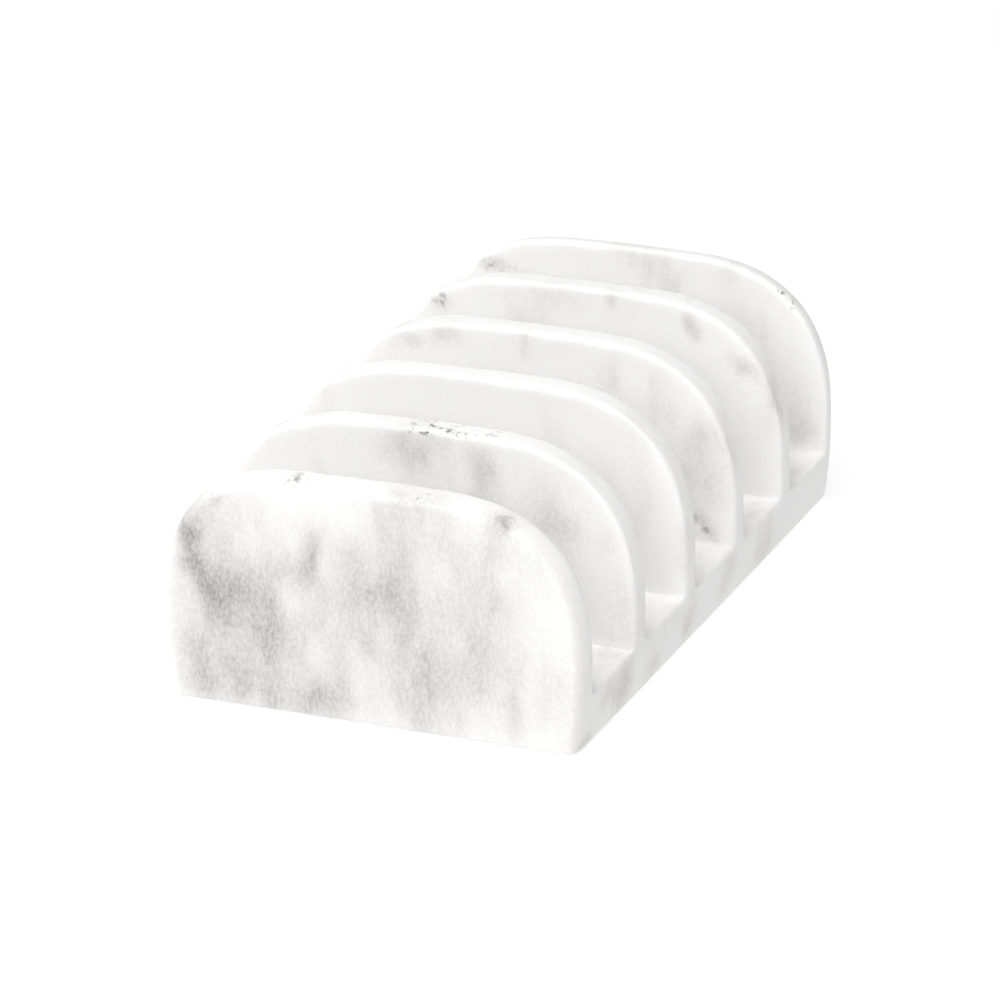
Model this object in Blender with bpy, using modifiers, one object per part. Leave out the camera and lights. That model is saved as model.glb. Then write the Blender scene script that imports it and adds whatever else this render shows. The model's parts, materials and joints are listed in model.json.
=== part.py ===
"""A toast rack cast in one piece: six arched plates standing on a thick base.

The rack is a single casting of white mineral resin. It rests on four round
anti-slip pads, which sit in shallow recesses in its underside.
X runs across the rack, Y along it and Z up. The origin is on the table, under
the middle of the rack.
"""

import math

import bmesh
import bpy

# Casting, in metres.
RACK_WIDTH = 0.1084  # across the plates where they are widest
FOOT_WIDTH = 0.1050  # across the underside: the sides bow in below the shoulders
BASE_THICKNESS = 0.0137
PLATE_THICKNESS = 0.0076
PLATE_PITCH = 0.0336
PLATE_HEIGHTS = (0.0603, 0.0628, 0.0639, 0.0639, 0.0640, 0.0634)  # above the underside, front to back

# Outline of a plate. Each shoulder is a quarter of a superellipse.
SHOULDER_RUN = 0.0380
SHOULDER_RISE = 0.0405
SHOULDER_POWER = 2.65
SHOULDER_STEPS = 12
DOME_RISE = 0.0024
DOME_STEPS = 4
SIDE_STEPS = 4

# Rounded edges.
PLATE_EDGE_RADIUS = 0.0014
END_EDGE_RADIUS = 0.0030
END_INNER_RADIUS = 0.0014
FLOOR_EDGE_RADIUS = 0.0010
FLOOR_FILLET_RADIUS = 0.0012
UNDERSIDE_RADIUS = 0.0010
EDGE_SEGMENTS = 4

# Anti-slip pads and their recesses.
PAD_RADIUS = 0.0060
PAD_THICKNESS = 0.0020
PAD_ROUNDING = 0.0005
PAD_ROUNDING_STEPS = 2
PAD_STANDS_PROUD = 0.0008
PAD_INSET_X = 0.0150  # from the foot's side to the middle of a pad
PAD_INSET_Y = 0.0160
PAD_GAP = 0.0003  # the adhesive film above a pad, and the clearance round it
RECESS_RADIUS = PAD_RADIUS + PAD_GAP
RECESS_DEPTH = PAD_THICKNESS - PAD_STANDS_PROUD + PAD_GAP
PAD_SIDES = 32

# Worked out from the sizes above.
PLATE_COUNT = len(PLATE_HEIGHTS)
RACK_LENGTH = (PLATE_COUNT - 1) * PLATE_PITCH + PLATE_THICKNESS
TALLEST = max(PLATE_HEIGHTS)
SIDE_TOP = TALLEST - DOME_RISE - SHOULDER_RISE
UNDERSIDE = PAD_STANDS_PROUD
SLOT_FLOOR = UNDERSIDE + BASE_THICKNESS
TINY = 1e-5
SHARP_ANGLE = math.radians(45)  # edges of the cut casting that are rounded turn by more than this
SMOOTH_ANGLE = math.radians(40)


def clear_scene():
    for obj in list(bpy.data.objects):
        bpy.data.objects.remove(obj)


def new_collection(name):
    collection = bpy.data.collections.new(name)
    bpy.context.scene.collection.children.link(collection)
    return collection


def new_material(name, colour, roughness):
    material = bpy.data.materials.new(name)
    material.use_nodes = True
    shader = material.node_tree.nodes["Principled BSDF"]
    shader.inputs["Base Color"].default_value = (*colour, 1.0)
    shader.inputs["Roughness"].default_value = roughness
    shader.inputs["Metallic"].default_value = 0.0
    return material


def plate_y(index):
    """The middle of a plate's thickness, counted from the front."""
    return (index - (PLATE_COUNT - 1) / 2) * PLATE_PITCH


def half_width(height):
    """Half the rack's width at a height over the underside, up to the foot of its shoulders."""
    below_shoulder = max(1 - height / SIDE_TOP, 0.0)
    return RACK_WIDTH / 2 - (RACK_WIDTH - FOOT_WIDTH) / 2 * below_shoulder**2


def half_outline():
    """The tallest plate's right half as (x, height) points, from the foot to the middle of the top."""
    flat_top = SIDE_TOP + SHOULDER_RISE
    shoulder_x = RACK_WIDTH / 2 - SHOULDER_RUN
    heights = [SIDE_TOP * step / SIDE_STEPS for step in range(SIDE_STEPS)]
    points = [(half_width(height), height) for height in heights]
    for step in range(SHOULDER_STEPS + 1):
        angle = math.pi / 2 * step / SHOULDER_STEPS
        x = shoulder_x + SHOULDER_RUN * math.cos(angle) ** (2 / SHOULDER_POWER)
        height = SIDE_TOP + SHOULDER_RISE * math.sin(angle) ** (2 / SHOULDER_POWER)
        points.append((x, height))
    for step in range(1, DOME_STEPS + 1):
        points.append((shoulder_x * (1 - step / DOME_STEPS), flat_top))
    domed = []
    for x, height in points:
        middle = 1 - (2 * x / RACK_WIDTH) ** 2
        rise = DOME_RISE * max(middle, 0.0) * height / flat_top if height > SIDE_TOP else 0.0
        domed.append((x, height + rise))
    return domed


def curve_to_mesh(curve_object, name, collection):
    """A mesh object with the curve's shape and place. The curve is removed."""
    bpy.context.view_layer.update()
    graph = bpy.context.evaluated_depsgraph_get()
    mesh = bpy.data.meshes.new_from_object(curve_object.evaluated_get(graph))
    obj = bpy.data.objects.new(name, mesh)
    obj.matrix_world = curve_object.matrix_world
    collection.objects.link(obj)
    bpy.data.objects.remove(curve_object)
    shape = bmesh.new()
    shape.from_mesh(mesh)
    bmesh.ops.remove_doubles(shape, verts=shape.verts, dist=TINY)
    shape.to_mesh(mesh)
    shape.free()
    return obj


def bake_modifiers(obj):
    """Puts the object's evaluated mesh in place of its own, in world coordinates."""
    bpy.context.view_layer.update()
    graph = bpy.context.evaluated_depsgraph_get()
    mesh = bpy.data.meshes.new_from_object(obj.evaluated_get(graph))
    mesh.transform(obj.matrix_world)
    obj.modifiers.clear()
    obj.data = mesh
    obj.matrix_world.identity()


def make_loaf(collection):
    """A solid with the tallest plate's outline and the rack's whole length."""
    right = half_outline()
    left = [(-x, height) for x, height in reversed(right[:-1])]
    outline = right + left
    curve = bpy.data.curves.new("rack_outline", "CURVE")
    curve.dimensions = "2D"
    curve.fill_mode = "BOTH"
    curve.extrude = RACK_LENGTH / 2
    spline = curve.splines.new("POLY")
    spline.points.add(len(outline) - 1)
    for point, (x, height) in zip(spline.points, outline):
        point.co = (x, height, 0.0, 1.0)
    spline.use_cyclic_u = True
    loaf = bpy.data.objects.new("rack_outline", curve)
    loaf.rotation_euler = (math.pi / 2, 0.0, 0.0)
    loaf.location = (0.0, 0.0, UNDERSIDE)
    collection.objects.link(loaf)
    return curve_to_mesh(loaf, "rack_body", collection)


def as_cutter(obj, collection):
    for owner in list(obj.users_collection):
        owner.objects.unlink(obj)
    collection.objects.link(obj)
    obj.hide_render = True
    obj.display_type = "WIRE"


def cut(obj, cutter):
    boolean = obj.modifiers.new("cut_" + cutter.name, "BOOLEAN")
    boolean.operation = "DIFFERENCE"
    boolean.solver = "EXACT"
    boolean.object = cutter


def slot_cutter(index, collection):
    """A box between plate number index and the next one, open at the top and at both sides."""
    clear_height = TALLEST * 2
    bpy.ops.mesh.primitive_cube_add(size=1.0)
    box = bpy.context.object
    box.name = f"slot_{index + 1}"
    box.scale = (RACK_WIDTH * 2, PLATE_PITCH - PLATE_THICKNESS, clear_height)
    box.location = (0.0, plate_y(index) + PLATE_PITCH / 2, SLOT_FLOOR + clear_height / 2)
    as_cutter(box, collection)
    return box


def set_plate_heights(body):
    """Lowers each plate from the tallest one's height to its own, down to the slot floor."""
    for vertex in body.data.vertices:
        over_floor = vertex.co.z - SLOT_FLOOR
        if over_floor < TINY:
            continue
        index = round(vertex.co.y / PLATE_PITCH + (PLATE_COUNT - 1) / 2)
        share = (PLATE_HEIGHTS[index] - BASE_THICKNESS) / (TALLEST - BASE_THICKNESS)
        was_on_side = vertex.co.z - UNDERSIDE < SIDE_TOP + TINY
        vertex.co.z = SLOT_FLOOR + over_floor * share
        if was_on_side:
            vertex.co.x = math.copysign(half_width(vertex.co.z - UNDERSIDE), vertex.co.x)


def edge_radius(edge):
    """The rounding of one edge of the sharp casting, by where it lies and which way it runs."""
    middle = (edge.verts[0].co + edge.verts[1].co) / 2
    along = (edge.verts[1].co - edge.verts[0].co).normalized()
    if edge.calc_face_angle() < SHARP_ANGLE:
        return 0.0
    if middle.z < UNDERSIDE + TINY:
        return UNDERSIDE_RADIUS
    if abs(middle.z - SLOT_FLOOR) < TINY:
        return FLOOR_EDGE_RADIUS if abs(along.y) > abs(along.x) else FLOOR_FILLET_RADIUS
    from_end = RACK_LENGTH / 2 - abs(middle.y)
    if from_end < TINY:
        return END_EDGE_RADIUS
    if from_end < PLATE_THICKNESS + TINY:
        return END_INNER_RADIUS
    return PLATE_EDGE_RADIUS


def round_edges(body):
    """A Bevel whose width at each edge is that edge's radius."""
    largest = END_EDGE_RADIUS
    shape = bmesh.new()
    shape.from_mesh(body.data)
    weights = shape.edges.layers.float.new("bevel_weight_edge")
    for edge in shape.edges:
        edge[weights] = edge_radius(edge) / largest
    shape.to_mesh(body.data)
    shape.free()
    bevel = body.modifiers.new("rounded_edges", "BEVEL")
    bevel.limit_method = "WEIGHT"
    bevel.width = largest
    bevel.segments = EDGE_SEGMENTS
    bevel.use_clamp_overlap = False


def pad_places():
    x = FOOT_WIDTH / 2 - PAD_INSET_X
    y = RACK_LENGTH / 2 - PAD_INSET_Y
    return {
        "pad_front_left": (-x, -y),
        "pad_front_right": (x, -y),
        "pad_back_left": (-x, y),
        "pad_back_right": (x, y),
    }


def recess_cutter(name, place, collection):
    """A disc that cuts a pad's recess, reaching below the underside by as much as it cuts."""
    bpy.ops.mesh.primitive_cylinder_add(
        vertices=PAD_SIDES,
        radius=RECESS_RADIUS,
        depth=RECESS_DEPTH * 2,
        location=(*place, UNDERSIDE),
    )
    disc = bpy.context.object
    disc.name = "recess_" + name
    as_cutter(disc, collection)
    return disc


def make_body(parts, cutters, material):
    body = make_loaf(parts)
    for index in range(PLATE_COUNT - 1):
        cut(body, slot_cutter(index, cutters))
    bake_modifiers(body)
    set_plate_heights(body)
    round_edges(body)
    for name, place in pad_places().items():
        cut(body, recess_cutter(name, place, cutters))
    bake_modifiers(body)
    body.data.materials.clear()
    body.data.materials.append(material)
    body.data.shade_smooth()
    body.data.set_sharp_from_angle(angle=SMOOTH_ANGLE)
    return body


def rounded_corner(centre_height, first_angle, last_angle):
    """The points of a pad's rounded rim, by angle above the horizontal."""
    points = []
    for step in range(PAD_ROUNDING_STEPS + 1):
        angle = first_angle + (last_angle - first_angle) * step / PAD_ROUNDING_STEPS
        radius = PAD_RADIUS - PAD_ROUNDING + PAD_ROUNDING * math.cos(angle)
        points.append((radius, centre_height + PAD_ROUNDING * math.sin(angle)))
    return points


def pad_profile():
    """Half of a pad's section as (radius, height) points, from its top middle down its side."""
    upper_rim = rounded_corner(PAD_THICKNESS - PAD_ROUNDING, math.pi / 2, 0.0)
    lower_rim = rounded_corner(PAD_ROUNDING, 0.0, -math.pi / 2)
    return [(0.0, PAD_THICKNESS)] + upper_rim + lower_rim + [(0.0, 0.0)]


def make_pad(name, place, collection, material):
    profile = pad_profile()
    mesh = bpy.data.meshes.new(name)
    shape = bmesh.new()
    corners = [shape.verts.new((radius, 0.0, height)) for radius, height in profile]
    for first, second in zip(corners, corners[1:]):
        shape.edges.new((first, second))
    shape.to_mesh(mesh)
    shape.free()
    pad = bpy.data.objects.new(name, mesh)
    pad.location = (*place, 0.0)
    collection.objects.link(pad)
    screw = pad.modifiers.new("turned", "SCREW")
    screw.steps = PAD_SIDES
    screw.render_steps = PAD_SIDES
    screw.use_merge_vertices = True
    screw.merge_threshold = TINY
    mesh.materials.append(material)
    return pad


def main():
    clear_scene()
    parts = new_collection("toast_rack")
    cutters = new_collection("toast_rack_cutters")
    stone = new_material("cast_mineral_white", (0.80, 0.79, 0.78), 0.75)
    silicone = new_material("pad_silicone", (0.62, 0.62, 0.61), 0.55)
    make_body(parts, cutters, stone)
    for name, place in pad_places().items():
        make_pad(name, place, parts, silicone)


main()
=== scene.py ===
"""The looks of a toast rack cast in one piece in white mineral resin with soft grey marbling.

The casting is a fine net of points drawn onto the rack's rounded shape. Noise then makes it a little
uneven, as a hand casting is, and breaks up the pits and marks that are placed on it. Lengths are in
metres. X runs across the rack, Y from its front plate to its back one, and Z up.
"""

import json
import math

import bmesh
import bpy
import numpy as np
from mathutils import Matrix, Quaternion, Vector, noise


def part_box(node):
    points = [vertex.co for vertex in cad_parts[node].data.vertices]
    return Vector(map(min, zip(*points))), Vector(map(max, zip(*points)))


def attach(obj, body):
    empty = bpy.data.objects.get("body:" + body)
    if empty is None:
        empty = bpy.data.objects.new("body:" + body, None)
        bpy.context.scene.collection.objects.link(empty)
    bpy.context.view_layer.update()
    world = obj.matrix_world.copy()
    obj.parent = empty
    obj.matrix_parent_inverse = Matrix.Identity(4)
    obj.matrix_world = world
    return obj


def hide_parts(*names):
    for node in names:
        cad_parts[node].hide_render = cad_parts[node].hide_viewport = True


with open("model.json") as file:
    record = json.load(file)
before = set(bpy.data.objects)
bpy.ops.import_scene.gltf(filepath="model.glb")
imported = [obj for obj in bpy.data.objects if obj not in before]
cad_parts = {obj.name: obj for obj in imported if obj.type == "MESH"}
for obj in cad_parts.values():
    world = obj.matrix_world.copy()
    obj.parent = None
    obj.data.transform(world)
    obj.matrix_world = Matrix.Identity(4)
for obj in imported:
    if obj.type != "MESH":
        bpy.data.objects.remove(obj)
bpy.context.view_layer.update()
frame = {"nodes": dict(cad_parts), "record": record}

# The casting's sizes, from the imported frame.
BODY_LOW, BODY_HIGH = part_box("rack_body")
SLOT_FLOORS = [m["pos_m"] for m in frame["record"]["mounts"] if m["name"].startswith("slot_floor")]
RACK_WIDTH = BODY_HIGH.x - BODY_LOW.x
RACK_LENGTH = BODY_HIGH.y - BODY_LOW.y
UNDERSIDE = BODY_LOW.z
TALLEST = BODY_HIGH.z - BODY_LOW.z
FLOOR = SLOT_FLOORS[0][2]
PITCH = SLOT_FLOORS[1][1] - SLOT_FLOORS[0][1]
PLATE_COUNT = len(SLOT_FLOORS) + 1
MIDDLE_PLATE = (PLATE_COUNT - 1) / 2
PLATE_THICKNESS = RACK_LENGTH - (PLATE_COUNT - 1) * PITCH
SLOT_HALF_GAP = (PITCH - PLATE_THICKNESS) / 2

# The outline that the plates share, rounded from a fit to the photo's edges.
FOOT_WIDTH = 0.1050
PLATE_HEIGHTS = np.array([0.0603, 0.0628, 0.0639, 0.0639, 0.0640, 0.0634])  # front to back
SHOULDER_RUN = 0.0380
SHOULDER_RISE = 0.0405
SHOULDER_POWER = 2.65
DOME_RISE = 0.0024
FLAT_TOP = TALLEST - DOME_RISE
SIDE_TOP = FLAT_TOP - SHOULDER_RISE

# How far each rounded edge runs over the two faces that meet in it.
END_EDGE_ON_FACE = 0.0027
END_EDGE_ON_SIDE = 0.0062
PLATE_EDGE = 0.0013
FLOOR_EDGE = 0.0009
FLOOR_FILLET = 0.0008
UNDERSIDE_EDGE = 0.0008

# Wear makes the inner edges rounder and sharper by turns. Each wave is in radians to the metre.
WEAR = 0.4
WEAR_WAVES = ((310.0, 95.0, 210.0), (-170.0, 260.0, 120.0))

# The net of points, and how far casting by hand leaves it from true.
NET_SIZE = 0.0013
SHARP_BEND = 0.008
SETTLING_ROUNDS = 3
SETTLING_STEPS = 4
PROBE = 2e-5
LEAST_STEEPNESS = 0.05
WELD_DISTANCE = 1e-6
LONGEST_STEP = 0.0010
UNEVEN_DEPTH = 0.00025
UNEVEN_SCALE = 26.0
RIPPLE_DEPTH = 0.00011
RIPPLE_SCALE = 110.0

# Marks in the casting. Each is a plate, counted from the front, then millimetres: x, z, half the
# width, half the height; then its lean in degrees to the left and its strength. A plate number
# with a fraction is a place behind that plate's face. On the sides that the photo shows, the middles
# of about 50 of the 80 marks were worked out, with the fitted camera, from points picked in the photo,
# and then rounded. The other middles were placed one by one. Sizes, leans and strengths were set
# against the photo's tones. The marks on the back and the left side are invented.
MM = 0.001
MARK_DEPTH = 0.0055
DRIFT = 0.0022
DRIFT_SCALE = (170.0, 170.0, 90.0)
SMUDGES = [
    (0, -4, 28, 44, 34, 0, 0.11),
    (0, 30, 16, 26, 18, 0, 0.09),
    (0, 30, 46, 26, 16, 0, 0.06),
    (0, -46, 50, 6, 7, 0, 0.06),
    (0, -24, 24, 17, 22, 0, 0.08),
    (0, -40, 20, 9, 18, 0, 0.24),
    (0, 8, 30, 18, 12, 0, 0.06),
    (0, 28, 12, 26, 12, 0, 0.08),
    (0, -18, 6, 22, 8, 0, 0.06),
    (0, -46, 43, 2.6, 4, 0, 0.22),
    (0, -44, 33, 2.6, 6, 25, 0.18),
    (0, -45, 40, 5, 12, 10, 0.12),
    (0, -38, 54, 3, 2, 0, 0.18),
    (0, -38, 48, 12, 8, 0, 0.10),
    (0, -14, 43, 2.6, 6.5, -14, 0.34),
    (0, -18, 37, 5, 4.5, -30, 0.26),
    (0, -8, 46, 5, 7, 0, 0.05),
    (0, -33, 30, 9, 9, 0, 0.17),
    (0, -27, 21, 6, 9, 0, 0.20),
    (0, -30, 10, 7, 9, 0, 0.20),
    (0, 3, 35, 5, 4.5, 20, 0.11),
    (0, 9.5, 40, 2, 7, 0, 0.06),
    (0, -45, 9, 4, 8, 15, 0.18),
    (0, -15, 5, 9, 5, 0, 0.24),
    (0, 16, 10, 4, 7, 0, 0.05),
    (0, 37, 11, 2.2, 7, 0, 0.14),
    (0, 35, 58, 2.2, 3, 20, 0.32),
    (0, 32, 46, 1.8, 11, 0, 0.07),
    (0, -18, 60, 3, 1.6, 0, 0.14),
    (0, 27, 25, 4, 14, 0, 0.05),
    (1, -4, 57, 7, 6, 0, 0.20),
    (1, 16, 55, 4, 7, 0, 0.13),
    (1, 30, 47, 4, 8, 0, 0.10),
    (1, 36, 43, 5, 7, 0, 0.11),
    (1, 47, 41, 3, 4, 0, 0.10),
    (1, 20, 44, 14, 10, 0, 0.05),
    (3, -33, 59, 4, 3, 0, 0.12),
    (3, -23, 61, 3, 3, 0, 0.14),
    (3, -1.5, 61, 1.6, 4, 0, 0.10),
    (3, 21, 55, 3, 4.5, 0, 0.16),
    (3, 33, 53, 3, 8, 0, 0.10),
    (3, 37, 47, 3, 5, 0, 0.10),
    (3, 44, 43, 2.8, 4, 0, 0.17),
    (3, 42, 35, 4, 8, 0, 0.10),
    (3, 46, 19, 2, 5, 40, 0.26),
    (4, -39, 56, 3.6, 3.5, 0, 0.20),
    (4, -5, 61, 3, 3, 0, 0.08),
    (4, 7.5, 62, 1.5, 3, 0, 0.16),
    (4, 30, 58, 2, 3, 0, 0.20),
    (4, 45, 49, 5, 2.6, -25, 0.18),
    (4, 51, 36, 3, 7, 0, 0.10),
    (5, -37, 55, 6, 2.2, -10, 0.22),
    (5, 5, 60, 3, 5, 0, 0.12),
    (5, 11, 57, 2.4, 7, 0, 0.12),
    (5, 28, 62, 2.5, 4, 0, 0.12),
    (5, 49, 20, 4, 3, 0, 0.12),
    (4.08, 48, 55, 4, 2, -45, 0.20),
    (4.1, 53, 42, 1.5, 7, 12, 0.34),
    (0.5, 54, 10, 3, 4, 0, 0.12),
    (0.8, 54, 8, 3, 4, 0, 0.12),
    (1.4, 54, 5, 3, 4, 0, 0.13),
    (2.1, 54, 7, 3, 5, 0, 0.16),
    (2.9, 54, 9, 3, 6, 0, 0.13),
    (3.6, 54, 5, 3, 4, 0, 0.10),
    # A small dark spot at the lower right corner of the front plate, where its face meets the side.
    (0.1, 53, 3, 1.5, 1.5, 0, 0.25),
    (0.9, 48, 15, 2, 2, 0, 0.05),
    (3.8, 49, 15, 2.5, 2, 0, 0.10),
    (5.23, 30, 40, 5, 10, 15, 0.18),
    (5.23, 12, 32, 9, 8, 0, 0.10),
    (5.23, -20, 26, 6, 12, -10, 0.15),
    (5.23, -38, 47, 4, 6, 0, 0.18),
    (5.23, -6, 12, 10, 6, 0, 0.11),
    (5.23, 41, 12, 3, 7, 0, 0.14),
    (1.3, -54, 8, 3, 5, 0, 0.12),
    (2.7, -54, 6, 3, 6, 0, 0.10),
    (4.1, -54, 9, 3, 5, 0, 0.14),
]
RUST = [(0, -25.5, 22, 2.5, 5, 0, 0.8), (0, -45, 36, 3, 6, 20, 0.3)]

# Air bubbles and chips, in the same terms. Where a mark is over PITTED, the net is made finer.
# Their hollows are also darkened in the colour, by depth, as painted shade.
PITS = [
    (0, 12.5, 60.6, 2.6, 0.8, 0, 0.8),
    (0, -18, 60.2, 2.6, 1.2, 0, 0.6),
    (0, 36, 59, 2.4, 1.4, 20, 0.5),
    (1, 2.3, 63.2, 5, 0.9, 0, 1.4),
    (1, 14, 63.4, 6, 0.7, 0, 0.7),
    (3, 46, 19, 1.5, 5, 40, 0.3),
    (4, 27.6, 63.8, 0.8, 0.6, 0, 0.7),
    (4, -38, 57, 3, 1.8, 0, 0.4),
    (5, -37, 54.8, 6, 1.0, -10, 0.5),
    (5, 41.4, 57, 0.9, 0.8, 0, 1.0),
    (5, 45, 54, 1.2, 0.9, 30, 0.6),
]
PITTED = 0.12
PIT_REFINEMENTS = 2
PIT_DEPTH = 0.0003
PIT_SCALE = 520.0


def outline_distance(x, height, over_foot):
    """How far points lie outside a plate's outline. height is as if each plate were the tallest."""
    foot_lack = (RACK_WIDTH - FOOT_WIDTH) / 2 * np.maximum(1 - over_foot / SIDE_TOP, 0) ** 2
    beside = x - RACK_WIDTH / 2 + foot_lack
    dome = DOME_RISE * np.maximum(1 - (2 * x / RACK_WIDTH) ** 2, 0)
    run = (x - RACK_WIDTH / 2) / SHOULDER_RUN + 1
    rise = (height * FLAT_TOP / (FLAT_TOP + dome) - SIDE_TOP) / SHOULDER_RISE
    above = (rise - 1) * SHOULDER_RISE
    u = np.maximum(run, 1e-6)
    v = np.maximum(rise, 1e-6)
    norm = (u**SHOULDER_POWER + v**SHOULDER_POWER) ** (1 / SHOULDER_POWER)
    slope_u = (u / norm) ** (SHOULDER_POWER - 1) / SHOULDER_RUN
    slope_v = (v / norm) ** (SHOULDER_POWER - 1) / SHOULDER_RISE
    shoulder = (norm - 1) / np.hypot(slope_u, slope_v)
    return np.where(rise <= 0, beside, np.where(run <= 0, above, shoulder))


def rounded(first, second, first_run, second_run):
    """Two distances joined by an arc that starts first_run and second_run before their corner."""
    u = np.maximum(first / first_run + 1, 0)
    v = np.maximum(second / second_run + 1, 0)
    reach = (u * first_run + v * second_run) / np.maximum(u + v, 1e-9)
    return np.where(u + v > 0, (np.hypot(u, v) - 1) * reach, np.maximum(first, second))


def casting_distance(points):
    """How far points lie outside the casting, below 0 inside it. It is exact enough near the surface."""
    x = np.abs(points[:, 0])
    y = points[:, 1]
    z = points[:, 2]
    plate = np.clip(np.round(y / PITCH + MIDDLE_PLATE), 0, PLATE_COUNT - 1).astype(int)
    base = FLOOR - UNDERSIDE
    share = (PLATE_HEIGHTS[plate] - base) / (TALLEST - base)
    height = np.where(z > FLOOR, base + (z - FLOOR) / share, z - UNDERSIDE)
    outline = outline_distance(x, height, z - UNDERSIDE)
    loaf = rounded(outline, np.abs(y) - RACK_LENGTH / 2, END_EDGE_ON_FACE, END_EDGE_ON_SIDE)

    slot = np.clip(np.floor(y / PITCH + MIDDLE_PLATE), 0, PLATE_COUNT - 2)
    slot_middle = (slot + 0.5 - MIDDLE_PLATE) * PITCH
    past_wall = np.abs(y - slot_middle) - SLOT_HALF_GAP
    past_floor = FLOOR - z
    beyond_slot = -rounded_slot(past_wall, past_floor)
    wall_share = np.clip(0.5 + (past_wall - past_floor) / (2 * FLOOR_FILLET), 0, 1)
    worn = 1 + WEAR * np.sin(points @ WEAR_WAVES[0]) * np.sin(points @ WEAR_WAVES[1])
    edge = (FLOOR_EDGE + (PLATE_EDGE - FLOOR_EDGE) * wall_share) * worn
    body = rounded(loaf, beyond_slot, edge, edge)
    return rounded(body, UNDERSIDE - z, UNDERSIDE_EDGE, UNDERSIDE_EDGE)


def rounded_slot(past_wall, past_floor):
    """How far points lie outside a slot, whose floor meets its walls in a small fillet."""
    u = past_wall + FLOOR_FILLET
    v = past_floor + FLOOR_FILLET
    outside = np.hypot(np.maximum(u, 0), np.maximum(v, 0))
    return outside + np.minimum(np.maximum(u, v), 0) - FLOOR_FILLET


def slopes(points):
    """The gradient of casting_distance at each point."""
    gradient = np.empty_like(points)
    for axis in range(3):
        shift = np.zeros(3)
        shift[axis] = PROBE
        ahead = casting_distance(points + shift)
        behind = casting_distance(points - shift)
        gradient[:, axis] = (ahead - behind) / (2 * PROBE)
    return gradient


def settled(points):
    """The points moved straight onto the casting's surface."""
    for _ in range(SETTLING_STEPS):
        gradient = slopes(points)
        steepness = np.maximum((gradient**2).sum(axis=1), LEAST_STEEPNESS)
        step = gradient * (casting_distance(points) / steepness)[:, None]
        length = np.linalg.norm(step, axis=1, keepdims=True)
        points = points - step * np.minimum(1, LONGEST_STEP / np.maximum(length, 1e-12))
    return points


def evened(points, edges):
    """Each point moved halfway to the middle of its neighbours."""
    count = len(points)
    near = np.bincount(edges.ravel(), minlength=count)[:, None]
    total = np.zeros_like(points)
    for axis in range(3):
        total[:, axis] += np.bincount(edges[:, 0], points[edges[:, 1], axis], count)
        total[:, axis] += np.bincount(edges[:, 1], points[edges[:, 0], axis], count)
    return (points + total / np.maximum(near, 1)) / 2


def points_of(mesh):
    points = np.empty(len(mesh.vertices) * 3, np.float32)
    mesh.vertices.foreach_get("co", points)
    return points.reshape(-1, 3).astype(float)


def edges_of(mesh):
    edges = np.empty(len(mesh.edges) * 2, np.int32)
    mesh.edges.foreach_get("vertices", edges)
    return edges.reshape(-1, 2)


def evaluated_mesh(obj):
    bpy.context.view_layer.update()
    graph = bpy.context.evaluated_depsgraph_get()
    return bpy.data.meshes.new_from_object(obj.evaluated_get(graph))


def new_object(name, mesh):
    obj = bpy.data.objects.new(name, mesh)
    bpy.context.scene.collection.objects.link(obj)
    return obj


# Pads and their recesses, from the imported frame.
PADS = ["pad_front_left", "pad_front_right", "pad_back_left", "pad_back_right"]
PAD_LOW, PAD_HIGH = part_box(PADS[0])
PAD_RADIUS = (PAD_HIGH.x - PAD_LOW.x) / 2
PAD_THICKNESS = PAD_HIGH.z - PAD_LOW.z
PAD_CLEARANCE = 0.0003
RECESS_RADIUS = PAD_RADIUS + PAD_CLEARANCE
RECESS_TOP = PAD_HIGH.z + PAD_CLEARANCE
RECESS_LIP = 0.0004
PLUG_OVERLAP = 0.00063
TURNING_STEPS = 64
PAD_ROUNDING = 0.0005
PAD_ROUNDING_STEPS = 4
PAD_GROOVES = 3
PAD_GROOVE_PITCH = 0.0014
PAD_GROOVE_HALF_WIDTH = 0.0002
PAD_GROOVE_DEPTH = 0.0002
SHARP_ANGLE = math.radians(50)


def pad_middle(name):
    low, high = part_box(name)
    return (low.x + high.x) / 2, (low.y + high.y) / 2


def turned(name, profile, place):
    """A solid turned about the Z axis from (radius, height) points that start and end on it."""
    shape = bmesh.new()
    corners = [shape.verts.new((radius, 0.0, height)) for radius, height in profile]
    lines = [shape.edges.new(pair) for pair in zip(corners, corners[1:])]
    bmesh.ops.spin(
        shape,
        geom=corners + lines,
        cent=(0, 0, 0),
        axis=(0, 0, 1),
        angle=math.tau,
        steps=TURNING_STEPS,
        use_merge=True,
    )
    bmesh.ops.remove_doubles(shape, verts=shape.verts, dist=WELD_DISTANCE)
    bmesh.ops.recalc_face_normals(shape, faces=shape.faces)
    mesh = bpy.data.meshes.new(name)
    shape.to_mesh(mesh)
    shape.free()
    mesh.transform(Matrix.Translation((*place, 0.0)))
    return new_object(name, mesh)


def net_over_casting():
    """An even net of small quads near the casting's surface, with its recesses filled."""
    shape = bmesh.new()
    shape.from_mesh(frame["nodes"]["rack_body"].data)
    bmesh.ops.remove_doubles(shape, verts=shape.verts, dist=WELD_DISTANCE)
    plug_height = (RECESS_TOP - UNDERSIDE) * 2
    for pad in PADS:
        middle = Vector((*pad_middle(pad), UNDERSIDE + plug_height / 2))
        bmesh.ops.create_cone(
            shape,
            cap_ends=True,
            segments=TURNING_STEPS,
            radius1=RECESS_RADIUS + PLUG_OVERLAP,
            radius2=RECESS_RADIUS + PLUG_OVERLAP,
            depth=plug_height,
            matrix=Matrix.Translation(middle),
        )
    mesh = bpy.data.meshes.new("casting_net")
    shape.to_mesh(mesh)
    shape.free()
    rough = new_object("casting_net", mesh)
    remesh = rough.modifiers.new("net", "REMESH")
    remesh.mode = "VOXEL"
    remesh.voxel_size = NET_SIZE
    net = evaluated_mesh(rough)
    bpy.data.objects.remove(rough)
    return net


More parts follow.
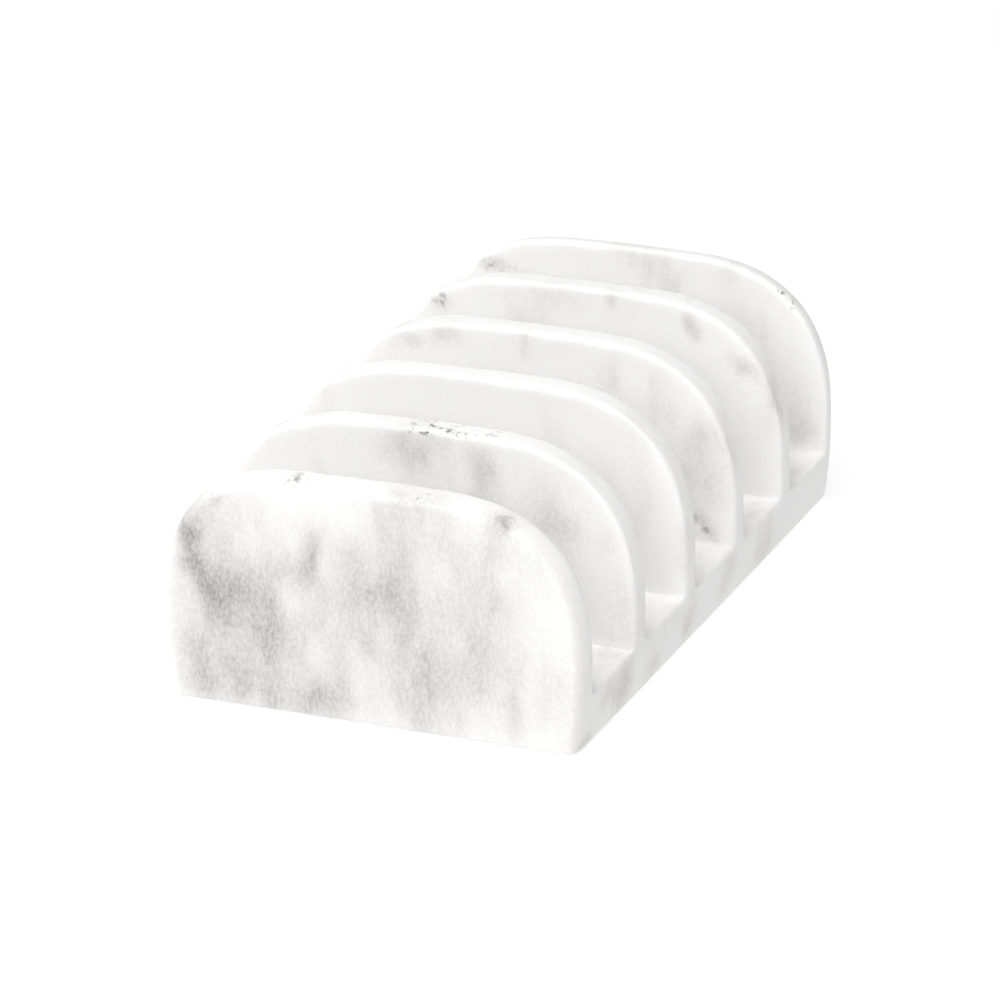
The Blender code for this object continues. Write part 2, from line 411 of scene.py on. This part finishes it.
def outward(points):
    """The unit normal of the casting at each point."""
    gradient = slopes(points)
    return gradient / np.maximum(np.linalg.norm(gradient, axis=1, keepdims=True), 1e-9)


def noise_at(points, scale, octaves):
    """Fractal noise, from about -1 to 1, at each point. scale is one number or one for each axis."""
    places = points * np.asarray(scale)
    return np.array([noise.fractal(Vector(place), 1.0, 2.0, octaves) for place in places])


def marks_at(points, marks):
    """How strongly each point is marked. A mark fades out from its middle, which lies on a plate's face."""
    strength = np.zeros(len(points))
    for plate, x, z, half_width, half_height, lean, weight in marks:
        face = (plate - MIDDLE_PLATE) * PITCH - PLATE_THICKNESS / 2
        dx = points[:, 0] - x * MM
        dy = points[:, 1] - face
        dz = points[:, 2] - z * MM
        turn = math.radians(lean)
        across = (dx * math.cos(turn) + dz * math.sin(turn)) / (half_width * MM)
        along = (dz * math.cos(turn) - dx * math.sin(turn)) / (half_height * MM)
        through = dy / MARK_DEPTH
        strength += weight * np.exp(-(across**2) - along**2 - through**2)
    return strength


def unevenness(points):
    """How far each point of a hand casting sinks below the true surface."""
    swell = noise_at(points, UNEVEN_SCALE, 2)
    ripple = noise_at(points, RIPPLE_SCALE, 1)
    return np.maximum(UNEVEN_DEPTH * (1 + swell) / 2 + RIPPLE_DEPTH * (1 + ripple) / 2, 0)


def pit_depth(points, pitting_and_pit_shade):
    """How deep the air bubbles and chips among the pitted marks go."""
    bubbles = noise_at(points, PIT_SCALE, 3)
    return PIT_DEPTH * np.clip(pitting_and_pit_shade, 0, 1) * np.clip(bubbles * 3 - 0.5, 0, 1)


def refined(mesh, wanted):
    """The mesh with each edge that wanted picks halved, and the faces beside it split to match."""
    shape = bmesh.new()
    shape.from_mesh(mesh)
    shape.edges.ensure_lookup_table()
    chosen = [shape.edges[index] for index in np.flatnonzero(wanted)]
    bmesh.ops.subdivide_edges(
        shape, edges=chosen, cuts=1, use_grid_fill=True, use_single_edge=True, use_only_quads=False
    )
    shape.to_mesh(mesh)
    shape.free()


def bends(mesh):
    """How far the casting's surface turns along each edge of the net, as 1 - the angle's cosine."""
    edges = edges_of(mesh)
    normals = outward(points_of(mesh))
    return 1 - (normals[edges[:, 0]] * normals[edges[:, 1]]).sum(axis=1)


def settle_mesh(mesh, rounds):
    edges = edges_of(mesh)
    points = settled(points_of(mesh))
    for _ in range(rounds):
        points = settled(evened(points, edges))
    mesh.vertices.foreach_set("co", points.astype(np.float32).ravel())
    mesh.update()


def set_marks(mesh, name, strength):
    layer = mesh.attributes.new(name, "FLOAT", "POINT")
    layer.data.foreach_set("value", strength.astype(np.float32))


def recess_profile():
    """Half of the section of what cuts a pad's recess, with a small chamfer round its mouth."""
    mouth = RECESS_RADIUS + RECESS_LIP
    below = UNDERSIDE - RECESS_TOP
    return [
        (0.0, below),
        (mouth, below),
        (mouth, UNDERSIDE),
        (RECESS_RADIUS, UNDERSIDE + RECESS_LIP),
        (RECESS_RADIUS, RECESS_TOP),
        (0.0, RECESS_TOP),
    ]


def with_recesses(mesh):
    body = new_object("casting_blank", mesh)
    cutters = []
    for pad in PADS:
        cutter = turned("recess_" + pad, recess_profile(), pad_middle(pad))
        boolean = body.modifiers.new(cutter.name, "BOOLEAN")
        boolean.operation = "DIFFERENCE"
        boolean.solver = "EXACT"
        boolean.object = cutter
        cutters.append(cutter)
    cut = evaluated_mesh(body)
    for used in [body] + cutters:
        bpy.data.objects.remove(used)
    return cut


def in_recess(points):
    """Whether each point belongs to a recess or its mouth."""
    inside = np.zeros(len(points), bool)
    for pad in PADS:
        x, y = pad_middle(pad)
        reach = np.hypot(points[:, 0] - x, points[:, 1] - y)
        inside |= (reach < RECESS_RADIUS + RECESS_LIP * 2) & (points[:, 2] < RECESS_TOP + PROBE)
    return inside


def make_casting(material):
    mesh = net_over_casting()
    settle_mesh(mesh, SETTLING_ROUNDS)
    refined(mesh, bends(mesh) > SHARP_BEND)
    settle_mesh(mesh, SETTLING_ROUNDS)
    for _ in range(PIT_REFINEMENTS):
        pitted = marks_at(points_of(mesh), PITS) > PITTED
        refined(mesh, pitted[edges_of(mesh)].all(axis=1))
    settle_mesh(mesh, 1)
    mesh = with_recesses(mesh)

    points = points_of(mesh)
    drift = np.stack([noise_at(points + 0.1 * axis, DRIFT_SCALE, 2) for axis in range(3)], axis=1)
    drifted = points + drift * DRIFT
    pits = pit_depth(points, marks_at(points, PITS))
    set_marks(mesh, "smudge", marks_at(drifted, SMUDGES))
    # The pits' depth goes to the colour, where it darkens their hollows as painted shade.
    set_marks(mesh, "pitting_and_pit_shade", pits / PIT_DEPTH)
    set_marks(mesh, "rust", marks_at(drifted, RUST))

    sunk = np.where(in_recess(points), 0, unevenness(points) + pits)
    points = points - outward(points) * sunk[:, None]
    mesh.vertices.foreach_set("co", points.astype(np.float32).ravel())
    mesh.update()
    mesh.materials.clear()
    mesh.materials.append(material)
    mesh.shade_smooth()
    mesh.set_sharp_from_angle(angle=SHARP_ANGLE)
    return new_object("casting", mesh)


def pad_profile():
    """Half of a pad's section: a ringed grip underneath, then its rounded rim and flat top."""
    points = [(0.0, 0.0)]
    for ring in range(1, PAD_GROOVES + 1):
        radius = ring * PAD_GROOVE_PITCH
        points.append((radius - PAD_GROOVE_HALF_WIDTH, 0.0))
        points.append((radius, PAD_GROOVE_DEPTH))
        points.append((radius + PAD_GROOVE_HALF_WIDTH, 0.0))
    for middle, first in ((PAD_ROUNDING, -90), (PAD_THICKNESS - PAD_ROUNDING, 0)):
        for step in range(PAD_ROUNDING_STEPS + 1):
            angle = math.radians(first + 90 * step / PAD_ROUNDING_STEPS)
            radius = PAD_RADIUS - PAD_ROUNDING * (1 - math.cos(angle))
            points.append((radius, middle + PAD_ROUNDING * math.sin(angle)))
    return points + [(0.0, PAD_THICKNESS)]


def make_pad(node, material):
    pad = turned("grip_" + node, pad_profile(), pad_middle(node))
    pad.data.materials.append(material)
    pad.data.shade_smooth()
    pad.data.set_sharp_from_angle(angle=SHARP_ANGLE)
    return pad


class Shading:
    """Builds a material's nodes. A value is a number or an output of another node."""

    def __init__(self, name):
        self.material = bpy.data.materials.new(name)
        self.material.use_nodes = True
        self.tree = self.material.node_tree
        self.shader = self.tree.nodes["Principled BSDF"]
        self.place = self.tree.nodes.new("ShaderNodeTexCoord").outputs["Object"]

    def put(self, socket, value):
        if isinstance(value, bpy.types.NodeSocket):
            self.tree.links.new(value, socket)
        else:
            socket.default_value = value

    def math(self, operation, first, second=0.0):
        node = self.tree.nodes.new("ShaderNodeMath")
        node.operation = operation
        self.put(node.inputs[0], first)
        self.put(node.inputs[1], second)
        return node.outputs[0]

    def noise(self, scale, detail=2.0, stretch=1.0, roughness=0.5):
        """Noise whose features are scale to the metre, and stretch times as tall as they are wide."""
        mapping = self.tree.nodes.new("ShaderNodeMapping")
        mapping.inputs["Scale"].default_value = (1.0, 1.0, 1.0 / stretch)
        self.put(mapping.inputs["Vector"], self.place)
        node = self.tree.nodes.new("ShaderNodeTexNoise")
        node.inputs["Scale"].default_value = scale
        node.inputs["Detail"].default_value = detail
        node.inputs["Roughness"].default_value = roughness
        self.put(node.inputs["Vector"], mapping.outputs["Vector"])
        return node.outputs["Fac"]

    def stepped(self, value, low, high, out_low=0.0, out_high=1.0):
        """The value eased from out_low, where it is under low, to out_high, where it is over high."""
        node = self.tree.nodes.new("ShaderNodeMapRange")
        node.interpolation_type = "SMOOTHSTEP"
        for socket, number in zip(list(node.inputs)[1:5], (low, high, out_low, out_high)):
            socket.default_value = number
        self.put(node.inputs["Value"], value)
        return node.outputs["Result"]

    def mark(self, name):
        node = self.tree.nodes.new("ShaderNodeAttribute")
        node.attribute_name = name
        return node.outputs["Fac"]

    def blend(self, share, first, second):
        node = self.tree.nodes.new("ShaderNodeMix")
        node.data_type = "RGBA"
        self.put(node.inputs["Factor"], share)
        self.put(node.inputs["A"], first)
        self.put(node.inputs["B"], second)
        return node.outputs["Result"]

    def bump(self, height, distance, strength):
        node = self.tree.nodes.new("ShaderNodeBump")
        node.inputs["Distance"].default_value = distance
        node.inputs["Strength"].default_value = strength
        self.put(node.inputs["Height"], height)
        self.put(self.shader.inputs["Normal"], node.outputs["Normal"])


def marble_material():
    """White casting resin with smoky grey pigment that ran down the mould, a fine sandy grain, and painted
    shade in its pits.
    """
    marble = Shading("cast_marble")
    grain = marble.noise(2100.0, 2.0, roughness=0.6)
    specks = marble.noise(1200.0, 3.0, 1.8, 0.6)
    smoke = marble.noise(110.0, 4.0, 2.2, 0.5)
    clouds = marble.noise(42.0, 3.0, 2.2, 0.5)

    smudge = marble.math("MULTIPLY", marble.mark("smudge"), marble.stepped(smoke, 0.3, 0.7, 0.5, 1.0))
    faint = marble.stepped(clouds, 0.48, 0.74, 0.0, 0.10)
    haze = marble.math("MULTIPLY", faint, marble.stepped(smoke, 0.3, 0.7, 0.6, 1.4))
    pigment = marble.math("ADD", smudge, haze)
    gathered = marble.math("MULTIPLY", pigment, marble.stepped(specks, 0.3, 0.7, 0.8, 1.25))
    coarse = marble.math("ADD", gathered, marble.stepped(grain, 0.3, 0.7, -0.03, 0.03))
    # Painted shade: each pit's hollow is darkened by its depth.
    pigment_grain_and_pit_shade = marble.math("ADD", coarse, marble.math("MULTIPLY", marble.mark("pitting_and_pit_shade"), 0.8))

    ramp = marble.tree.nodes.new("ShaderNodeValToRGB")
    ramp.color_ramp.elements[0].color = (0.93, 0.925, 0.921, 1.0)
    ramp.color_ramp.elements[1].color = (0.07, 0.065, 0.062, 1.0)
    for place, colour in ((0.2, (0.70, 0.685, 0.672)), (0.5, (0.36, 0.35, 0.342))):
        ramp.color_ramp.elements.new(place).color = (*colour, 1.0)
    marble.put(ramp.inputs["Fac"], marble.math("MAXIMUM", pigment_grain_and_pit_shade, 0.0))
    rusty = marble.math("MULTIPLY", marble.mark("rust"), marble.stepped(specks, 0.5, 0.75, 0.0, 0.5))
    colour = marble.blend(rusty, ramp.outputs["Color"], (0.42, 0.27, 0.25, 1.0))
    marble.put(marble.shader.inputs["Base Color"], colour)
    marble.put(marble.shader.inputs["Roughness"], marble.stepped(smoke, 0.2, 0.8, 0.56, 0.72))
    marble.shader.inputs["Specular IOR Level"].default_value = 0.2
    marble.shader.inputs["Subsurface Weight"].default_value = 0.4
    marble.shader.inputs["Subsurface Radius"].default_value = (1.0, 0.96, 0.92)
    marble.shader.inputs["Subsurface Scale"].default_value = 0.002
    marble.bump(marble.math("ADD", grain, marble.math("MULTIPLY", specks, 0.6)), 0.00006, 0.35)
    return marble.material


def silicone_material():
    """Soft grey silicone with a cloudy body and a faint moulded grain."""
    silicone = Shading("pad_silicone_soft")
    cloudy = silicone.noise(220.0, 3.0)
    grain = silicone.noise(2600.0, 2.0)
    colour = silicone.blend(
        silicone.stepped(cloudy, 0.3, 0.7), (0.52, 0.52, 0.51, 1.0), (0.66, 0.66, 0.65, 1.0)
    )
    silicone.put(silicone.shader.inputs["Base Color"], colour)
    silicone.put(silicone.shader.inputs["Roughness"], silicone.stepped(cloudy, 0.2, 0.8, 0.42, 0.58))
    silicone.shader.inputs["Subsurface Weight"].default_value = 0.15
    silicone.shader.inputs["Subsurface Scale"].default_value = 0.001
    silicone.bump(grain, 0.00003, 0.3)
    return silicone.material


def plain_material(name, colour, roughness):
    material = bpy.data.materials.new(name)
    material.use_nodes = True
    shader = material.node_tree.nodes["Principled BSDF"]
    shader.inputs["Base Color"].default_value = (*colour, 1.0)
    shader.inputs["Roughness"].default_value = roughness
    return material


# Studio. A softbox is its name, azimuth and elevation in degrees, size and radiance. The strengths of
# the lights began as a least-squares fit to the photo's tones, and were then changed. The
# camera is rounded from the same fit as the plates' outline.
FLOOR_SIZE = 4.0
FLOOR_ALBEDO = 0.25
FLOOR_GLOW = 0.80
SKY_RADIANCE = 0.41
SOFTBOX_DISTANCE = 1.6
SOFTBOXES = [
    ("key_softbox", 0, 70, 0.9, 5.0),
    ("front_softbox", 0, 35, 0.9, 2.9),
    ("left_softbox", -80, 20, 0.9, 1.9),
]
CAMERA_AZIMUTH = 23.143
CAMERA_ELEVATION = 22.031
CAMERA_ROLL = math.radians(-1.230)
CAMERA_DISTANCE = 1.3760
CAMERA_LENS = 198.95
SENSOR_WIDTH = 36.0
LOOK_AT = Vector((-0.0059, 0.0066, 0.0215))


def direction(azimuth, elevation):
    """The unit vector to a place seen from the rack. Azimuth 0 is in front of it, and 90 to its right."""
    turn = math.radians(azimuth)
    rise = math.radians(elevation)
    return Vector((math.sin(turn) * math.cos(rise), -math.cos(turn) * math.cos(rise), math.sin(rise)))


def make_camera():
    back = direction(CAMERA_AZIMUTH, CAMERA_ELEVATION)
    camera = bpy.data.objects.new("camera", bpy.data.cameras.new("camera"))
    camera.data.lens = CAMERA_LENS
    camera.data.sensor_width = SENSOR_WIDTH
    camera.rotation_mode = "QUATERNION"
    level = (-back).to_track_quat("-Z", "Y")
    camera.rotation_quaternion = level @ Quaternion((0, 0, 1), CAMERA_ROLL)
    camera.location = LOOK_AT + back * CAMERA_DISTANCE
    bpy.context.scene.collection.objects.link(camera)
    bpy.context.scene.camera = camera


def make_floor():
    shape = bmesh.new()
    bmesh.ops.create_grid(shape, x_segments=1, y_segments=1, size=FLOOR_SIZE / 2)
    mesh = bpy.data.meshes.new("studio_floor")
    shape.to_mesh(mesh)
    shape.free()
    white = plain_material("studio_white", (FLOOR_ALBEDO,) * 3, 0.9)
    shader = white.node_tree.nodes["Principled BSDF"]
    shader.inputs["Specular IOR Level"].default_value = 0.0
    shader.inputs["Emission Color"].default_value = (1.0, 1.0, 1.0, 1.0)
    shader.inputs["Emission Strength"].default_value = FLOOR_GLOW
    mesh.materials.append(white)
    new_object("studio_floor", mesh)


def make_softbox(name, azimuth, elevation, size, radiance):
    softbox = bpy.data.lights.new(name, "AREA")
    softbox.shape = "SQUARE"
    softbox.size = size
    softbox.energy = radiance * math.pi * size**2
    lamp = bpy.data.objects.new(name, softbox)
    towards = direction(azimuth, elevation)
    lamp.location = towards * SOFTBOX_DISTANCE
    lamp.rotation_mode = "QUATERNION"
    lamp.rotation_quaternion = towards.to_track_quat("Z", "Y")
    bpy.context.scene.collection.objects.link(lamp)


def make_studio():
    make_floor()
    world = bpy.data.worlds.new("studio")
    world.use_nodes = True
    sky = world.node_tree.nodes["Background"]
    sky.inputs["Color"].default_value = (1.0, 1.0, 1.0, 1.0)
    sky.inputs["Strength"].default_value = SKY_RADIANCE
    bpy.context.scene.world = world
    for softbox in SOFTBOXES:
        make_softbox(*softbox)
    bpy.context.scene.view_settings.view_transform = "Standard"


make_camera()
make_studio()
casting = make_casting(marble_material())
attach(casting, "root")
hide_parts("rack_body")

silicone = silicone_material()
for node in PADS:
    pad = make_pad(node, silicone)
    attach(pad, "root")
    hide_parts(node)
